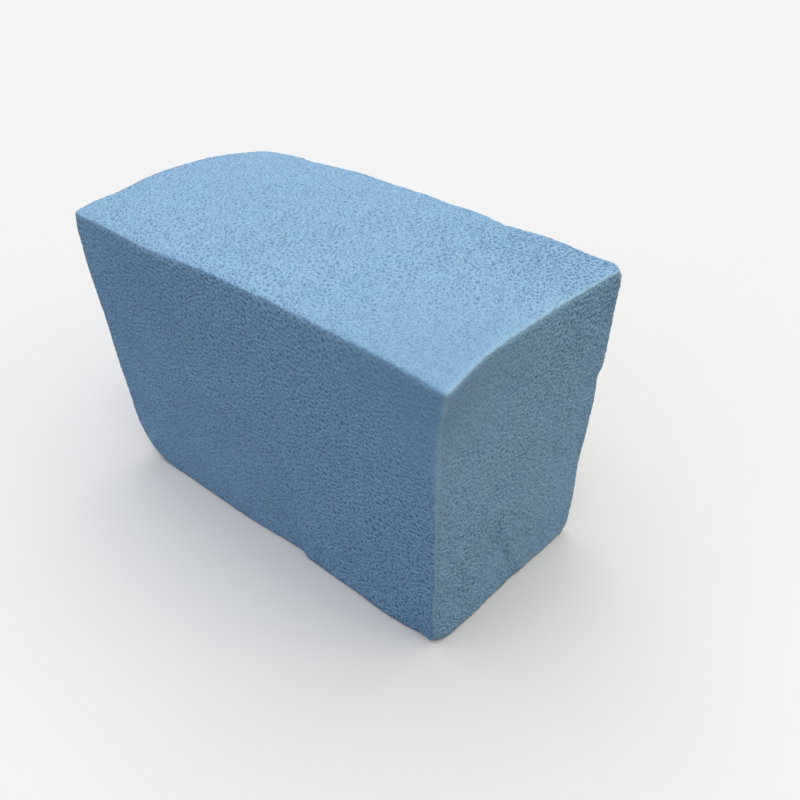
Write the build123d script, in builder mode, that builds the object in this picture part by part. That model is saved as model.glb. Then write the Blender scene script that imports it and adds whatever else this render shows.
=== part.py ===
"""Floral foam brick: one solid block of fine open-cell foam, standing on its long narrow side.

Millimetres, +Z up. The origin is the middle of the base, on the surface that the brick rests on.
+X runs along the brick and +Y across it, so its large faces look along -Y and +Y.
"""
import os

from build123d import *

# The cut size of the block, measured half-way up its sides.
LENGTH = 80.0
WIDTH = 40.0
HEIGHT = 55.0

# The block is soft and cut by hand: its top is a little larger than its base, and domed.
FLARE_LENGTH = 1.0
FLARE_WIDTH = 2.0
TOP_RISE = 1.8

# One lower edge, at the -X end, is worn to a broad round, and every other edge is just softened.
WORN_EDGE_RADIUS = 11.0
SOFT_EDGE_RADIUS = 1.0

top_length = LENGTH + FLARE_LENGTH
top_width = WIDTH + FLARE_WIDTH
base_length = LENGTH - FLARE_LENGTH
base_width = WIDTH - FLARE_WIDTH
full_height = HEIGHT + TOP_RISE

with BuildPart() as foam_brick:
    # The flared sides run past the top, which the dome then cuts.
    with BuildSketch(Plane.XY):
        Rectangle(base_length, base_width)
    with BuildSketch(Plane.XY.offset(HEIGHT)):
        Rectangle(top_length, top_width)
    loft(ruled=True)
    extrude(foam_brick.faces().sort_by(Axis.Z)[-1], amount=TOP_RISE)

    # The dome: an arc across the width, carried along the whole length.
    with BuildSketch(Plane.YZ) as dome_section:
        with BuildLine():
            Polyline(
                (-top_width / 2, HEIGHT),
                (-top_width / 2, 0),
                (top_width / 2, 0),
                (top_width / 2, HEIGHT),
            )
            ThreePointArc((top_width / 2, HEIGHT), (0, full_height), (-top_width / 2, HEIGHT))
        make_face()
    extrude(amount=top_length / 2, both=True, mode=Mode.INTERSECT)

    # The worn lower edge at the -X end, then a soft round on every other edge.
    base_face = foam_brick.faces().sort_by(Axis.Z)[0]
    worn_edge = base_face.edges().filter_by(Axis.Y).sort_by(Axis.X)[0]
    fillet(worn_edge, radius=WORN_EDGE_RADIUS)
    fillet(foam_brick.edges(), radius=SOFT_EDGE_RADIUS)

foam_brick.part.label = "foam_brick"

os.makedirs("parts", exist_ok=True)
export_step(foam_brick.part, "parts/foam_brick.step")
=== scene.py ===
"""Floral foam brick: its looks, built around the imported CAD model.

Metres, in the CAD model's frame: the base rests on z = 0 and +X runs along the brick. The sides are called
far (-X), near (+X), front (-Y), back (+Y), base and top.
"""
import math
from collections import namedtuple

import bpy
import numpy as np
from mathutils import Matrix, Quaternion, Vector
from mathutils.geometry import delaunay_2d_cdt
from mathutils.noise import noise as perlin


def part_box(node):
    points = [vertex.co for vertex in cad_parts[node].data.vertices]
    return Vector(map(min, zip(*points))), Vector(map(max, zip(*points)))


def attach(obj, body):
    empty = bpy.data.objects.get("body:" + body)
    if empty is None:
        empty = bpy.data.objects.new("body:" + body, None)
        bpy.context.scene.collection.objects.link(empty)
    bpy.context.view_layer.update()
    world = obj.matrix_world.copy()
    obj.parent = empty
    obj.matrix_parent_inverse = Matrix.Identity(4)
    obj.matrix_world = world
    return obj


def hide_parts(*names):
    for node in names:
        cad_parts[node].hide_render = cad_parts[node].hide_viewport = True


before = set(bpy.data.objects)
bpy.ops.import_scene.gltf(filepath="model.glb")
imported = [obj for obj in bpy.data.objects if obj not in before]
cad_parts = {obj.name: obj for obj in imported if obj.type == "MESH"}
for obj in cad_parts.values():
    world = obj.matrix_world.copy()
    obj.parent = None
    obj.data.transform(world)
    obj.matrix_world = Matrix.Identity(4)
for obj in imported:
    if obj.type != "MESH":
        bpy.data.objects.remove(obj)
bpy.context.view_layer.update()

MM = 0.001
SEED = 11

brick_low, brick_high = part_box("foam_brick")

# ---------------------------------------------------------------------------------------- the block's shape

# The open cells: how far apart their middles are on a side and along an edge, how far one along an edge
# strays as a share of that, how many rounds of evening out the others get, and how far one on an edge leans
# to either side.
CELL_SPACING = 0.87 * MM
EDGE_SPACING = 0.5 * MM
EDGE_STRAY = 0.3
CELL_ROUNDS = 6
EDGE_CELL_LEAN = 0.12 * MM

# How deep the cells are and how dark painted shade makes their floors, at least and at most, the share of
# both that one on an edge keeps, and how rough the rims are.
CELL_DEPTHS = (0.14 * MM, 0.3 * MM)
CELL_PAINTED_SHADES = (0.55, 1.0)
EDGE_CELL_SHARE = 0.3
RIM_ROUGHNESS = 0.04 * MM

# The rounds of the cut edges and of the worn one, the lower edge at the far end.
SOFT_EDGE_RADIUS = 0.7 * MM
WORN_EDGE_RADIUS = 11.0 * MM

# How far in the near end's paler rim reaches, and how close to an edge the cells' rims stay soft.
RIM_REACH = 0.65 * MM
SOFT_RIM_REACH = 0.6 * MM

# Each side's axis, and whether it is the high end of that axis.
SIDES = {
    "far": (0, False),
    "near": (0, True),
    "front": (1, False),
    "back": (1, True),
    "top": (2, True),
}

# How the block is cut, a little askew, beside its box. Its top's corners are below the box's top, most of all
# at the far end, and its base is set in from the box's ends and sides. Both ends slant, towards -X at the
# front and +X at the back. The front face stands out at its far end and in at its near end, at the top and
# more so at the base.
TOP_FAR_DROP = 2.1 * MM
TOP_NEAR_DROP = 1.4 * MM
BASE_END_INSET = 1.0 * MM
BASE_SIDE_INSET = 2.0 * MM
END_SLANT = 1.1 * MM
FRONT_TOP_TAPER = 0.5 * MM
FRONT_BASE_TAPER = 1.3 * MM

# How the soft block's edges bow between their corners: the two sides that meet there, and how far the
# middle of the edge moves, in millimetres.
BOWS = (
    (("front", "top"), (0.0, 0.3, 0.7)),
    (("near", "top"), (0.0, 0.0, 0.8)),
    (("back", "top"), (0.0, 0.0, 1.5)),
    (("far", "top"), (-0.5, 0.0, 2.0)),
    (("near", "front"), (0.0, -0.5, 0.0)),
)

# Where single places have been drawn out or rubbed away: the place, as shares of the box from 0 at its far,
# front and base sides to 1 at the others, how far round it the surface moves, and the move, in millimetres.
Dent = namedtuple("Dent", "place reach push")
DENTS = (
    # The top's corners.
    Dent((1, 0, 1), 6.0, (1.0, 0.0, -0.4)),
    Dent((1, 1, 1), 1.3, (-0.6, -0.3, 0.0)),
    Dent((0, 0, 1), 1.8, (0.45, 0.2, 0.2)),
    Dent((0, 1, 1), 1.6, (0.3, -0.3, -0.1)),
    # The front's upper edge.
    Dent((0.28, 0, 1), 11.0, (0.0, -0.6, -0.3)),
    # The far end's upper edge.
    Dent((0, 0.22, 1), 4.0, (0.2, 0.0, -0.3)),
    # The back's upper edge.
    Dent((0.33, 1, 1), 4.0, (0.0, 0.0, 0.25)),
    Dent((0.59, 1, 1), 3.0, (0.0, 0.0, -0.25)),
    Dent((0.72, 1, 1), 2.0, (0.0, 0.0, -0.3)),
    Dent((0.97, 1, 1), 2.0, (0.0, 0.0, 0.3)),
    # The base's corners at the near end.
    Dent((1, 0, 0), 1.8, (-1.1, -0.2, 0.5)),
    Dent((1, 1, 0), 1.4, (-0.3, -0.3, 0.2)),
    # Along the front's lower edge.
    Dent((0.45, 0, 0), 6.0, (0.0, 0.35, 0.0)),
    Dent((0.66, 0, 0), 4.0, (0.0, 0.25, 0.0)),
    Dent((0.84, 0, 0), 7.0, (0.0, -0.3, 0.0)),
    Dent((0.96, 0, 0), 3.0, (0.0, 0.4, 0.0)),
    # Along the near end's lower, front and back edges.
    Dent((1, 0.36, 0), 3.5, (-0.3, 0.0, 0.0)),
    Dent((1, 0, 0.15), 6.0, (-0.3, -0.2, 0.0)),
    Dent((1, 1, 0.3), 5.0, (-0.3, -0.2, 0.0)),
)

# The slow unevenness of a hand-cut face.
WAVE_LENGTH = 11.0 * MM
WAVE_HEIGHT = 0.3 * MM

# Where handling has creased and nicked the block. Each line's points are shares of the box, as above. The
# surface moves by the push, which fades to a share of itself at the line's end, and recovers slowly on the
# gentle side of the line and at once on the other. Lengths are in millimetres.
Crease = namedtuple("Crease", "line gentle_side reach sharp_reach push fade")
CREASES = (
    # Up the front face from its lower edge.
    Crease(
        line=((0.6, 0, 0), (0.605, 0, 0.3), (0.58, 0, 0.46), (0.54, 0, 0.54)),
        gentle_side=(-1, 0, 0),
        reach=8,
        sharp_reach=0.9,
        push=(0, 0.7, 0),
        fade=0.1,
    ),
    # Across the near end, down to its lower edge.
    Crease(
        line=((1, 0.4, 0.25), (1, 0.56, 0)),
        gentle_side=(0, -1, 0),
        reach=5,
        sharp_reach=1,
        push=(-0.35, 0, 0),
        fade=1,
    ),
    # A step in the near end's back edge.
    Crease(
        line=((0.99, 1, 0.65), (1, 1, 0.65), (1, 0.98, 0.65)),
        gentle_side=(0, 0, -1),
        reach=3,
        sharp_reach=1.2,
        push=(-0.3, -0.2, 0),
        fade=1,
    ),
    # A soft wrinkle along the top.
    Crease(
        line=((0.31, 0.56, 1), (0.45, 0.6, 1)),
        gentle_side=(0, 1, 0),
        reach=2.5,
        sharp_reach=0.5,
        push=(0, 0, -0.5),
        fade=0.5,
    ),
    # Nicks in the top's back edge.
    Crease(
        line=((0.165, 1, 1), (0.165, 0.97, 1)),
        gentle_side=(1, 0, 0),
        reach=5,
        sharp_reach=1,
        push=(0, -0.2, -0.25),
        fade=0.5,
    ),
    Crease(
        line=((0.74, 1, 1), (0.74, 0.97, 1)),
        gentle_side=(1, 0, 0),
        reach=7,
        sharp_reach=1,
        push=(0, -0.3, -0.35),
        fade=0.5,
    ),
)

# The UV map, which nothing here reads: it lays the block's sides out flat, for a texture baked from the
# material. The export bakes the material on to a map of this name where a piece has one; left to unwrap the
# cells by itself, it cuts them into thousands of scraps. The gap keeps the sides apart.
UV_MAP = "OFBake"
FLAT_GAP = 1.0 * MM

# Where the cells are more or less open than elsewhere: the place, as for a Dent, how far round it in
# millimetres, and by what share. Openness deepens the cells and strengthens their painted shade. The near
# end's upper front corner is rubbed, and those below and behind it are fresher.
Wear = namedtuple("Wear", "place reach share")
WEARS = (
    Wear((1, 0, 1), 13.0, -0.45),
    Wear((1, 0, 0), 18.0, 0.4),
    Wear((0.88, 1, 1), 11.0, 0.45),
)


def edge_cells(low, high, random):
    """Cell middles on the box's corners and along its edges, as a list of places."""
    places = []
    for axis in range(3):
        across = [a for a in range(3) if a != axis]
        count = round((high[axis] - low[axis]) / EDGE_SPACING)
        steps = np.arange(1, count) + random.uniform(-EDGE_STRAY, EDGE_STRAY, count - 1)
        # The corners come once, with the edges along X.
        steps = np.concatenate([[0, count], steps]) if axis == 0 else steps
        for first in (low, high):
            for second in (low, high):
                line = np.empty((len(steps), 3))
                line[:, axis] = low[axis] + steps / count * (high[axis] - low[axis])
                line[:, across[0]] = first[across[0]]
                line[:, across[1]] = second[across[1]]
                places.append(line)
    return np.concatenate(places)


def triangulated(flat):
    """Triangles between places in a plane, all turning anticlockwise."""
    found = delaunay_2d_cdt([Vector(place) for place in flat], [], [], 0, 1e-9)
    origin = np.array([sources[0] for sources in found[3]])
    triangles = origin[np.array(found[2])]
    one, two, three = (flat[triangles[:, i]] for i in range(3))
    turn = np.cross(two - one, three - one)
    triangles[turn < 0] = triangles[turn < 0][:, ::-1]
    return triangles


def evened(flat, fixed):
    """Moves each free place to the middle of its neighbours, a few times over, and triangulates them."""
    for _ in range(CELL_ROUNDS):
        triangles = triangulated(flat)
        pairs = np.concatenate([triangles[:, (0, 1)], triangles[:, (1, 2)], triangles[:, (2, 0)]])
        total = np.zeros_like(flat)
        np.add.at(total, pairs[:, 0], flat[pairs[:, 1]])
        count = np.bincount(pairs[:, 0], minlength=len(flat))
        middle = total / np.maximum(count, 1)[:, None]
        flat = np.where(fixed[:, None], flat, middle)
    return flat, triangulated(flat)


def lay_cells(low, high, random):
    """Cell middles all over the box, and the triangles between them, facing outwards."""
    places = edge_cells(low, high, random)
    triangles = []
    for axis in range(3):
        across = [a for a in range(3) if a != axis]
        inset = CELL_SPACING / 2
        sides = high[across] - low[across]
        count = round(sides.prod() / (CELL_SPACING**2 * math.sqrt(3) / 2))
        for end in (low, high):
            border = np.flatnonzero(places[:, axis] == end[axis])
            inner = np.empty((count, 3))
            inner[:, axis] = end[axis]
            inner[:, across] = random.uniform(low[across] + inset, high[across] - inset, (count, 2))
            number = np.concatenate([border, np.arange(len(places), len(places) + count)])
            flat = np.concatenate([places[border], inner])[:, across]
            flat, made = evened(flat, np.arange(len(flat)) < len(border))
            inner[:, across] = flat[len(border) :]
            places = np.concatenate([places, inner])
            # A plane across Y is seen with x to the right and z up from -Y, and the others from their high
            # end.
            faces_high = end is high
            triangles.append(number[made] if faces_high != (axis == 1) else number[made][:, ::-1])
    return places, np.concatenate(triangles)


def leaning(places, low, high, random):
    """Moves the cells that are on an edge a little, on to one or the other of its two sides."""
    made = places.copy()
    on_side = (places == low) | (places == high)
    for row in np.flatnonzero(on_side.sum(axis=1) == 2):
        axis = random.choice(np.flatnonzero(on_side[row]))
        inwards = 1 if places[row, axis] == low[axis] else -1
        made[row, axis] += inwards * random.uniform(0, EDGE_CELL_LEAN)
    return made


def cell_faces(triangles, cell_count):
    """The faces of a mesh whose points are the cells' middles, then the triangles', where rims meet."""
    edges = np.concatenate([triangles[:, (0, 1)], triangles[:, (1, 2)], triangles[:, (2, 0)]])
    owner = np.tile(np.arange(len(triangles)), 3)
    # The same edge runs the other way in the triangle next to it.
    forward = edges[:, 0] * cell_count + edges[:, 1]
    backward = edges[:, 1] * cell_count + edges[:, 0]
    order = np.argsort(forward)
    neighbour = owner[order[np.searchsorted(forward[order], backward)]]
    return np.stack([edges[:, 0], neighbour + cell_count, owner + cell_count], axis=1)


def softened(points, low, high):
    """Rounds the box's edges. The worn edge is left for worn(), so only its two ends are rounded here."""
    core = np.clip(points, low + SOFT_EDGE_RADIUS, high - SOFT_EDGE_RADIUS)
    out = points - core
    reach = np.abs(out)
    at_worn_edge = (out[:, 0] < 0) & (out[:, 2] < 0)
    flat = np.hypot(reach[:, 0], reach[:, 2])
    flat[at_worn_edge] = np.maximum(reach[:, 0], reach[:, 2])[at_worn_edge]
    length = np.hypot(flat, reach[:, 1])
    scale = reach.max(axis=1) / np.maximum(length, 1e-9)
    return core + out * scale[:, None]


def worn(points, low):
    """Turns the lower far edge, a square corner seen from the front, into a broad round."""
    out = points[:, (0, 2)] - (low[[0, 2]] + WORN_EDGE_RADIUS)
    inside = (out < 0).all(axis=1)
    reach = np.abs(out[inside]).max(axis=1)
    scale = reach / np.hypot(*out[inside].T)
    made = points.copy()
    made[np.ix_(inside, (0, 2))] += out[inside] * (scale - 1)[:, None]
    return made


def cut_askew(points, low, high):
    """Turns the box into the block's tapered, slightly slanting cut shape."""
    along, across, up = ((points - low) / (high - low)).T
    to_near = 2 * along - 1
    to_back = 2 * across - 1
    made = points.copy()
    made[:, 0] += END_SLANT * to_back - BASE_END_INSET * (1 - up) * to_near
    front_taper = FRONT_TOP_TAPER * up + FRONT_BASE_TAPER * (1 - up)
    made[:, 1] += front_taper * (1 - across) * to_near - BASE_SIDE_INSET * (1 - up) * to_back
    made[:, 2] -= (TOP_FAR_DROP * (1 - along) + TOP_NEAR_DROP * along) * up
    return made


def bowed(points, low, high):
    """How BOWS move the surface, at each point."""
    place = (points - low) / (high - low)
    moves = np.zeros_like(points)
    for sides, offset in BOWS:
        weight = np.ones(len(points))
        free_axes = {0, 1, 2}
        for side in sides:
            axis, is_high = SIDES[side]
            weight *= place[:, axis] if is_high else 1 - place[:, axis]
            free_axes.remove(axis)
        for axis in free_axes:
            weight *= 4 * place[:, axis] * (1 - place[:, axis])
        moves += weight[:, None] * np.array(offset) * MM
    return moves


def dented(points, low, high):
    """How DENTS move the surface, at each point."""
    moves = np.zeros_like(points)
    for dent in DENTS:
        out = points - low - np.array(dent.place) * (high - low)
        near = np.exp(-(out**2).sum(axis=1) / (dent.reach * MM) ** 2)
        moves += near[:, None] * np.array(dent.push) * MM
    return moves


def cell_openness(points, low, high):
    """How open the cells are at each point: 1 away from WEARS."""
    openness = np.ones(len(points))
    for wear in WEARS:
        place = low + np.array(wear.place) * (high - low)
        distance = np.linalg.norm(points - place, axis=1)
        openness += wear.share * np.exp(-((distance / (wear.reach * MM)) ** 2) / 2)
    return openness


def creased(points, low, high):
    """How CREASES move the surface, at each point."""
    moves = np.zeros_like(points)
    for crease in CREASES:
        stops = low + np.array(crease.line) * (high - low)
        share = np.zeros(len(points))
        for number, (start, end) in enumerate(zip(stops[:-1], stops[1:])):
            along = end - start
            step = np.clip((points - start) @ along / (along @ along), 0, 1)
            out = points - start - step[:, None] * along
            gentle = out @ np.array(crease.gentle_side) > 0
            reach = np.where(gentle, crease.reach, crease.sharp_reach) * MM
            strength = 1 + (crease.fade - 1) * (number + step) / (len(stops) - 1)
            near = np.exp(-(out**2).sum(axis=1) / reach**2)
            share = np.maximum(share, strength * near)
        moves += share[:, None] * np.array(crease.push) * MM
    return moves


def rim_share(points, low, high):
    """1 on the near end's four edges, falling to 0 a little way in from them."""
    to_sides = np.minimum(points - low, high - points)[:, 1:].min(axis=1)
    to_end = high[0] - points[:, 0]
    return np.exp(-((np.maximum(to_sides, to_end) / RIM_REACH) ** 2))


def waves(points):
    """The slow unevenness of the faces, out from them, at each point."""
    return np.array([perlin(Vector(point) / WAVE_LENGTH) for point in points]) * WAVE_HEIGHT


def laid_flat(points, faces, normals):
    """Places for the faces' points in a square that holds the block's sides flat, in three rows of two."""
    low = points.min(axis=0)
    size = points.max(axis=0) - low
    nearest_axis = np.abs(normals).argmax(axis=1)
    flat = np.empty((len(faces), 3, 2))
    row = 0.0
    for axis, along, up in ((1, 0, 2), (2, 0, 1), (0, 1, 2)):
        for column, high_side in enumerate((False, True)):
            chosen = (nearest_axis == axis) & ((normals[:, axis] > 0) == high_side)
            places = points[faces[chosen]] - low
            flat[chosen, :, 0] = places[..., along] + column * (size[along] + FLAT_GAP)
            flat[chosen, :, 1] = places[..., up] + row
        row += size[up] + FLAT_GAP
    return flat / max(2 * size[0] + FLAT_GAP, row)


def normals_of(vectors):
    """A mesh's point normals or face normals, one to a row."""
    flat = np.empty(len(vectors) * 3, np.float32)
    vectors.foreach_get("vector", flat)
    return flat.reshape(-1, 3)


def set_attribute(mesh, name, values):
    """Gives the mesh a number at each point, for the material to read."""
    mesh.attributes.new(name, "FLOAT", "POINT").data.foreach_set("value", values.astype(np.float32))


def sharpen_rims(mesh, cell_count, to_edge):
    """Marks the rims between the cells as sharp, except close to the box's edges."""
    ends = np.empty(len(mesh.edges) * 2, np.int32)
    mesh.edges.foreach_get("vertices", ends)
    ends = ends.reshape(-1, 2)
    on_rims = (ends >= cell_count).all(axis=1)
    by_box_edge = (to_edge[ends] < SOFT_RIM_REACH).any(axis=1)
    mesh.edges.foreach_set("use_edge_sharp", on_rims & ~by_box_edge)


def make_block():
    """The closed block, with its open cells sunk into its surface."""
    random = np.random.default_rng(SEED)
    low, high = np.array(brick_low), np.array(brick_high)
    middles, triangles = lay_cells(low, high, random)
    on_edge = ((middles == low) | (middles == high)).sum(axis=1) > 1
    middles = leaning(middles, low, high, random)
    corners = middles[triangles].mean(axis=1)
    boxed = np.concatenate([middles, corners])
    openness = cell_openness(boxed, low, high)

    moves = dented(boxed, low, high) + creased(boxed, low, high)
    points = worn(softened(boxed, low, high), low)
    moves += bowed(points, low, high)
    points = cut_askew(points, low, high) + moves

    mesh = bpy.data.meshes.new("foam_brick_surface")
    faces = cell_faces(triangles, len(middles))
    mesh.from_pydata(points, [], faces)
    face_normals = normals_of(mesh.polygon_normals)

    cell_depth = random.uniform(*CELL_DEPTHS, len(middles))
    cell_depth[on_edge] *= EDGE_CELL_SHARE
    rim_depth = random.uniform(-1, 1, len(corners)) * RIM_ROUGHNESS
    # Each cell's painted shade: how far its floor darkens towards the pits' colour, as if shade fell into it.
    cell_painted_shade = random.uniform(*CELL_PAINTED_SHADES, len(middles))
    cell_painted_shade[on_edge] *= EDGE_CELL_SHARE
    depth = np.concatenate([cell_depth, rim_depth]) * openness
    painted_pit_shade = np.concatenate([cell_painted_shade, np.zeros(len(corners))]) * openness

    points += normals_of(mesh.vertex_normals) * (waves(points) - depth)[:, None]
    points[:, 2] = np.maximum(points[:, 2], low[2])
    mesh.vertices.foreach_set("co", points.ravel())
    mesh.shade_smooth()
    sharpen_rims(mesh, len(middles), np.sort(np.minimum(boxed - low, high - boxed), axis=1)[:, 1])
    set_attribute(mesh, "painted_pit_shade", painted_pit_shade)
    set_attribute(mesh, "rim", rim_share(boxed, low, high))
    set_attribute(mesh, "openness", openness)
    flat = laid_flat(points, faces, face_normals)
    mesh.uv_layers.new(name=UV_MAP).uv.foreach_set("vector", flat.ravel().astype(np.float32))
    mesh.update()
    block = bpy.data.objects.new("foam_brick_surface", mesh)
    bpy.context.collection.objects.link(block)
    return block


# --------------------------------------------------------------------------------------------- node helpers


def add(tree, kind, inputs=None, **settings):
    """A new node with these settings. Each of its inputs is joined to a socket or set to a value."""
    made = tree.nodes.new(kind)
    for name, value in settings.items():
        setattr(made, name, value)
    for name, value in (inputs or {}).items():
        if isinstance(value, bpy.types.NodeSocket):
            tree.links.new(value, made.inputs[name])
        else:
            made.inputs[name].default_value = value
    return made


def math_node(tree, operation, first, second):
    """One sum of two sockets or numbers."""
    return add(tree, "ShaderNodeMath", {0: first, 1: second}, operation=operation).outputs[0]


def noise(tree, place, wave_length, detail=2.0):
    """Smooth noise with this wave length."""
    return add(tree, "ShaderNodeTexNoise", {"Vector": place, "Scale": 1 / wave_length, "Detail": detail})


def between(tree, value, start, end, low=0.0, high=1.0):
    """Goes smoothly from low to high as value goes from start to end."""
    inputs = {"Value": value, "From Min": start, "From Max": end, "To Min": low, "To Max": high}
    return add(tree, "ShaderNodeMapRange", inputs, interpolation_type="SMOOTHSTEP").outputs["Result"]


# ------------------------------------------------------------------------------------------------- material

WALL_COLOUR = (0.215, 0.364, 0.52, 1.0)
# The pits' colour is painted shade, the dark that falls into the open cells and the fine cells.
PIT_SHADE_COLOUR = (0.07, 0.155, 0.27, 1.0)
WORN_COLOUR = (0.32, 0.485, 0.56, 1.0)
VIOLET_TINT = (1.012, 0.99, 1.012, 1.0)
GREEN_TINT = (0.988, 1.01, 0.993, 1.0)

# The finest cells, too small to be shapes of their own and shown by bump and painted shade, the grit on the
# walls, and the patches of tint.
FINE_CELL = 0.34 * MM
FINE_DEPTH = 0.08 * MM
GRIT = 0.16 * MM
TINT_PATCH = 9.0 * MM

# Where each pattern starts and where it is full: the painted shade down a cell and from a fine cell's rim to
# its middle, and from one tint, or one roughness, to the other.
PIT_SHADE_RANGE = (0.3, 0.8)
FINE_RANGE = (0.55, 0.2)
TINT_RANGE = (0.35, 0.65)
GRIT_RANGE = (0.3, 0.7)
ROUGHNESSES = (0.86, 1.0)

# How far the colour goes towards the pits' painted shade in a cell, in a fine cell and where the foam is
# rubbed, and towards the worn colour on the rim.
PIT_SHADE_SHARE = 0.85
FINE_SHADE_SHARE = 0.75
RUBBED_SHADE_SHARE = 0.6
RIM_SHARE = 0.4

# How high the grit stands beside the fine cells' depth, how strongly both show, and the foam's faint shine.
GRIT_HEIGHT = 0.5
BUMP_STRENGTH = 0.4
SPECULAR = 0.15
SHEEN = 0.05
SHEEN_ROUGHNESS = 0.6


def mixed(tree, share, first, second, blend_type="MIX"):
    """A colour between two others, or one blended over the other."""
    node = add(tree, "ShaderNodeMix", {"Factor": share}, data_type="RGBA", blend_type=blend_type)
    for socket, value in zip([s for s in node.inputs if s.type == "RGBA"], (first, second)):
        if isinstance(value, bpy.types.NodeSocket):
            tree.links.new(value, socket)
        else:
            socket.default_value = value
    return next(s for s in node.outputs if s.type == "RGBA")


def foam_material():
    """Dry open-cell foam: pale walls round cells darkened with painted shade, fine grit, a slow change of
    tint.
    """
    material = bpy.data.materials.new("foam")
    material.use_nodes = True
    tree = material.node_tree
    shader = tree.nodes["Principled BSDF"]
    shader.inputs["Specular IOR Level"].default_value = SPECULAR
    shader.inputs["Sheen Weight"].default_value = SHEEN
    shader.inputs["Sheen Roughness"].default_value = SHEEN_ROUGHNESS

    place = add(tree, "ShaderNodeTexCoord").outputs["Object"]
    painted_pit_shade = add(tree, "ShaderNodeAttribute", attribute_name="painted_pit_shade").outputs["Fac"]
    rim = add(tree, "ShaderNodeAttribute", attribute_name="rim").outputs["Fac"]
    openness = add(tree, "ShaderNodeAttribute", attribute_name="openness").outputs["Fac"]
    fine_cells = add(tree, "ShaderNodeTexVoronoi", {"Vector": place, "Scale": 1 / FINE_CELL})
    fine = between(tree, fine_cells.outputs["Distance"], *FINE_RANGE)
    speck_relief_and_shade = math_node(tree, "MULTIPLY", fine, openness)
    grit = noise(tree, place, GRIT).outputs["Fac"]
    patch = noise(tree, place, TINT_PATCH).outputs["Fac"]

    # Painted shade: each cell's floor darkens towards the pits' colour, as shade falls into an open cell.
    colour = mixed(tree, between(tree, painted_pit_shade, *PIT_SHADE_RANGE, 0.0, PIT_SHADE_SHARE), WALL_COLOUR, PIT_SHADE_COLOUR)
    # Painted shade and relief: the fine cells darken towards the pits' colour, and sink in the bump below.
    colour = mixed(tree, math_node(tree, "MULTIPLY", speck_relief_and_shade, FINE_SHADE_SHARE), colour, PIT_SHADE_COLOUR)
    # Painted shade spread evenly where the cells are less open, darkening the rubbed corner towards the pits'
    # colour.
    rubbed_painted_shade = math_node(tree, "SUBTRACT", 1.0, openness)
    colour = mixed(tree, math_node(tree, "MULTIPLY", rubbed_painted_shade, RUBBED_SHADE_SHARE), colour, PIT_SHADE_COLOUR)
    colour = mixed(tree, math_node(tree, "MULTIPLY", rim, RIM_SHARE), colour, WORN_COLOUR)
    tint = mixed(tree, between(tree, patch, *TINT_RANGE), VIOLET_TINT, GREEN_TINT)
    colour = mixed(tree, 1.0, colour, tint, "MULTIPLY")
    tree.links.new(colour, shader.inputs["Base Color"])

    tree.links.new(between(tree, grit, *GRIT_RANGE, *ROUGHNESSES), shader.inputs["Roughness"])
    height = math_node(tree, "SUBTRACT", math_node(tree, "MULTIPLY", grit, GRIT_HEIGHT), speck_relief_and_shade)
    relief = {"Height": height, "Distance": FINE_DEPTH, "Strength": BUMP_STRENGTH}
    bump = add(tree, "ShaderNodeBump", relief)
    tree.links.new(bump.outputs["Normal"], shader.inputs["Normal"])
    return material


# --------------------------------------------------------------------------------------------------- studio


FLOOR_SIZE = 12.0

# The floor is pale where it is seen, but throws less light back up at the brick, as a darker bench would.
FLOOR_COLOUR = (0.6, 0.6, 0.6, 1.0)
FLOOR_BOUNCE = (0.22, 0.22, 0.22, 1.0)


def make_floor():
    """A plain pale floor under the brick."""
    bpy.ops.mesh.primitive_plane_add(size=FLOOR_SIZE, location=(0, 0, brick_low.z))
    floor = bpy.context.object
    floor.name = "floor"
    material = bpy.data.materials.new("floor_paper")
    material.use_nodes = True
    tree = material.node_tree
    tree.nodes.remove(tree.nodes["Principled BSDF"])
    bounced = add(tree, "ShaderNodeBsdfDiffuse", {"Color": FLOOR_BOUNCE})
    shown = add(tree, "ShaderNodeBsdfDiffuse", {"Color": FLOOR_COLOUR})
    seen = add(tree, "ShaderNodeLightPath").outputs["Is Camera Ray"]
    either = add(tree, "ShaderNodeMixShader", {0: seen, 1: bounced.outputs[0], 2: shown.outputs[0]})
    tree.links.new(either.outputs[0], tree.nodes["Material Output"].inputs["Surface"])
    floor.data.materials.append(material)


# Each soft lamp: its strength, its colour, how wide it is in degrees, and the direction it shines from.
Lamp = namedtuple("Lamp", "name strength colour width source")
LAMPS = (
    Lamp("overhead", 3.0, (1.0, 1.0, 1.0), 75, (-0.14, 0.16, 1.0)),
    Lamp("end_fill", 1.45, (1.0, 0.92, 0.75), 65, (1.0, 0.1, 0.8)),
    Lamp("front_fill", 1.1, (0.65, 0.76, 1.0), 65, (-0.2, -1.0, 0.8)),
)
WORLD_COLOUR = (1.0, 1.0, 1.0, 1.0)
WORLD_STRENGTH = 0.15
BACKDROP_COLOUR = (0.93, 0.93, 0.93, 1.0)


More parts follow.
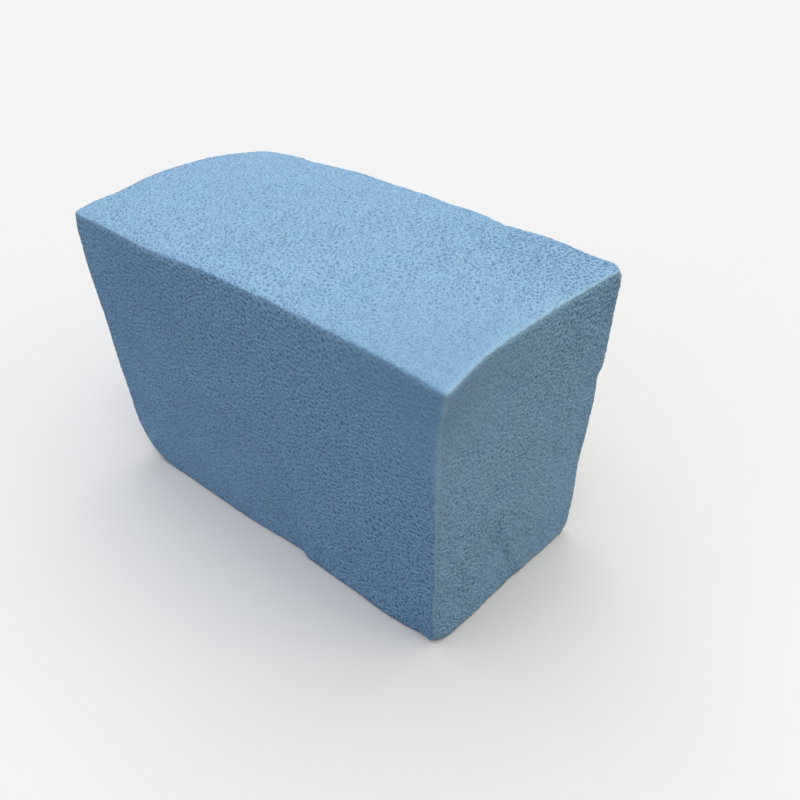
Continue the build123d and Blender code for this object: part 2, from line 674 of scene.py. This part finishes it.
def make_light():
    """The soft lamps, and a world that lights the scene a little and is as pale as the floor to look at."""
    for lamp in LAMPS:
        data = bpy.data.lights.new(lamp.name, "SUN")
        data.energy = lamp.strength
        data.color = lamp.colour
        data.angle = math.radians(lamp.width)
        placed = bpy.data.objects.new(lamp.name, data)
        placed.rotation_mode = "QUATERNION"
        placed.rotation_quaternion = Vector(lamp.source).to_track_quat("Z", "Y")
        bpy.context.collection.objects.link(placed)
    world = bpy.data.worlds.new("studio")
    bpy.context.scene.world = world
    world.use_nodes = True
    tree = world.node_tree
    lighting = tree.nodes["Background"]
    lighting.inputs["Color"].default_value = WORLD_COLOUR
    lighting.inputs["Strength"].default_value = WORLD_STRENGTH
    backdrop = add(tree, "ShaderNodeBackground", {"Color": BACKDROP_COLOUR})
    seen = add(tree, "ShaderNodeLightPath").outputs["Is Camera Ray"]
    either = add(tree, "ShaderNodeMixShader", {0: seen, 1: lighting.outputs[0], 2: backdrop.outputs[0]})
    tree.links.new(either.outputs[0], tree.nodes["World Output"].inputs["Surface"])
    bpy.context.scene.view_settings.view_transform = "Standard"


# The camera, its place and what it looks at, from the middle of the brick's foot, and its roll in degrees.
# Its sensor's width and its lens are in Blender's own millimetres.
SENSOR_WIDTH = 36.0
LENS = 34.0
CAMERA_PLACE = Vector((82.5, -76.6, 108.2)) * MM
CAMERA_AIM = Vector((14.5, 0.7, 28.8)) * MM
CAMERA_ROLL = -0.4
NEAREST_SEEN = 5 * MM


def make_camera():
    """The camera at its place, almost level, looking at its aim."""
    data = bpy.data.cameras.new("camera")
    data.sensor_width = SENSOR_WIDTH
    data.lens = LENS
    data.clip_start = NEAREST_SEEN
    camera = bpy.data.objects.new("camera", data)
    bpy.context.collection.objects.link(camera)
    foot = Vector(((brick_low.x + brick_high.x) / 2, (brick_low.y + brick_high.y) / 2, brick_low.z))
    camera.location = foot + CAMERA_PLACE
    aim = foot + CAMERA_AIM
    camera.rotation_mode = "QUATERNION"
    level = (aim - camera.location).to_track_quat("-Z", "Y")
    camera.rotation_quaternion = level @ Quaternion((0, 0, 1), math.radians(CAMERA_ROLL))
    bpy.context.scene.camera = camera


make_camera()
make_light()
make_floor()

brick = make_block()
brick.data.materials.append(foam_material())
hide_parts("foam_brick")
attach(brick, "root")
